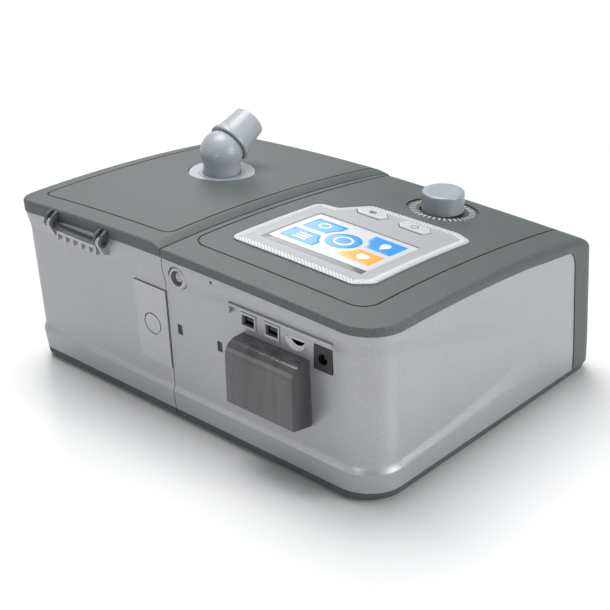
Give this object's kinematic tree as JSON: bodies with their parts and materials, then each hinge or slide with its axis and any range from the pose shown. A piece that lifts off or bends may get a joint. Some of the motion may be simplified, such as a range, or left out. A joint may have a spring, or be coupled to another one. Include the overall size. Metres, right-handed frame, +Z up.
{
  "type": "bedside breathing-air machine",
  "caption": "Bedside breathing-air machine with screen, keys and knob, docked to a heated humidifier with a hinged lid and swivelling hose elbow.",
  "frame": {"origin": "on the table, under the middle of the machine's overall box", "axes": "+Z up, +Y towards the side with the ports and the filter cover, +X along the machine towards the humidifier's end wall"},
  "size_m": [0.2909, 0.2466, 0.1507],
  "materials": {
    "cover_plastic": "fine matte texture",
    "base_plastic": "matte",
    "shell_silver": "fine metallic grain",
    "trim_silver": "satin",
    "bezel_plastic": "satin, knurled edge",
    "screen": "clear over a lit display",
    "key_white": "satin",
    "knob_grey": "satin",
    "steel": "plain",
    "black_plastic": "plain",
    "circuit_board": "coated",
    "card_plastic": "plain",
    "smoked_plastic": "smoked, ribbed",
    "foam": "open foam",
    "soft_rubber": "matte",
    "tank_clear": "clear",
    "white_plastic": "plain",
    "elbow_grey": "satin",
    "disc_grey": "satin",
    "plate_alloy": "plain"
  },
  "bodies": {
    "main": {"main_base": "base_plastic", "main_shell": "shell_silver", "main_cover": "cover_plastic", "control_bezel": "bezel_plastic", "screen_glass": "screen", "display_module": "black_plastic", "key_switches": "black_plastic", "tick_ring": "key_white", "encoder_body": "black_plastic", "main_board": "circuit_board", "data_ports": "black_plastic", "card_reader": "steel", "power_inlet": "black_plastic", "accessory_socket": "trim_silver", "filter_frame": "black_plastic", "filter_foam": "foam", "muffler_box": "black_plastic", "blower_volute": "white_plastic", "blower_motor": "black_plastic", "blower_mount": "soft_rubber", "air_coupler": "soft_rubber", "main_feet": "soft_rubber", "main_screws": "steel"},
    "key_left": {"key_left": "key_white"},
    "key_right": {"key_right": "key_white"},
    "knob_plunger": {"encoder_plunger": "black_plastic"},
    "knob": {"knob": "knob_grey", "encoder_shaft": "steel"},
    "memory_card": {"memory_card": "card_plastic"},
    "filter_cover": {"filter_cover": "smoked_plastic"},
    "impeller": {"impeller": "white_plastic"},
    "humidifier": {"humidifier_base": "base_plastic", "humidifier_shell": "shell_silver", "humidifier_front": "cover_plastic", "hinge_pin": "steel", "hinge_comb": "trim_silver", "heater_plate": "plate_alloy", "water_tank": "tank_clear", "tank_cover": "tank_clear", "humidifier_feet": "soft_rubber", "humidifier_screws": "steel"},
    "lid": {"humidifier_lid": "cover_plastic", "lid_seal": "soft_rubber", "outlet_disc": "disc_grey"},
    "elbow": {"elbow": "elbow_grey"},
    "hose_connector": {"hose_connector": "elbow_grey"},
    "release_button": {"release_button": "trim_silver"}
  },
  "joints": [
    {"name": "dock_slide", "type": "slide", "parent": "main", "child": "humidifier", "axis": [1, 0, 0], "range_m": [0, 0.06]},
    {"name": "lid_hinge", "type": "hinge", "parent": "humidifier", "child": "lid", "pos_m": [0.08405, 0.1136, 0.1076], "axis": [-1, 0, 0], "range_deg": [0, 85]},
    {"name": "elbow_swivel", "type": "hinge", "parent": "lid", "child": "elbow", "pos_m": [0.07845, -0.0074, 0.12692], "axis": [0, 0, 1], "continuous": true},
    {"name": "connector_turn", "type": "hinge", "parent": "elbow", "child": "hose_connector", "pos_m": [0.07845, -0.0074, 0.12692], "axis": [0, -0.8829, 0.4695], "continuous": true},
    {"name": "release_press", "type": "slide", "parent": "humidifier", "child": "release_button", "axis": [0, -1, 0], "range_m": [0, 0.002], "stiffness_N_per_m": 400, "springref_m": -0.0005},
    {"name": "knob_press", "type": "slide", "parent": "main", "child": "knob_plunger", "axis": [0, 0, -1], "range_m": [0, 0.0008], "stiffness_N_per_m": 1500, "springref_m": -0.0005},
    {"name": "knob_turn", "type": "hinge", "parent": "knob_plunger", "child": "knob", "pos_m": [-0.06025, -0.063, 0.11], "axis": [0, 0, 1], "continuous": true},
    {"name": "key_left_press", "type": "slide", "parent": "main", "child": "key_left", "axis": [0, 0, -1], "range_m": [0, 0.0009], "stiffness_N_per_m": 800, "springref_m": -0.0005},
    {"name": "key_right_press", "type": "slide", "parent": "main", "child": "key_right", "axis": [0, 0, -1], "range_m": [0, 0.0009], "stiffness_N_per_m": 800, "springref_m": -0.0005},
    {"name": "filter_pull", "type": "slide", "parent": "main", "child": "filter_cover", "axis": [0, 1, 0], "range_m": [0, 0.028]},
    {"name": "card_pull", "type": "slide", "parent": "main", "child": "memory_card", "axis": [0, 1, 0], "range_m": [0, 0.012]},
    {"name": "impeller_spin", "type": "hinge", "parent": "main", "child": "impeller", "pos_m": [-0.04825, -0.0055, 0.062], "axis": [0, 0, 1], "continuous": true}
  ]
}
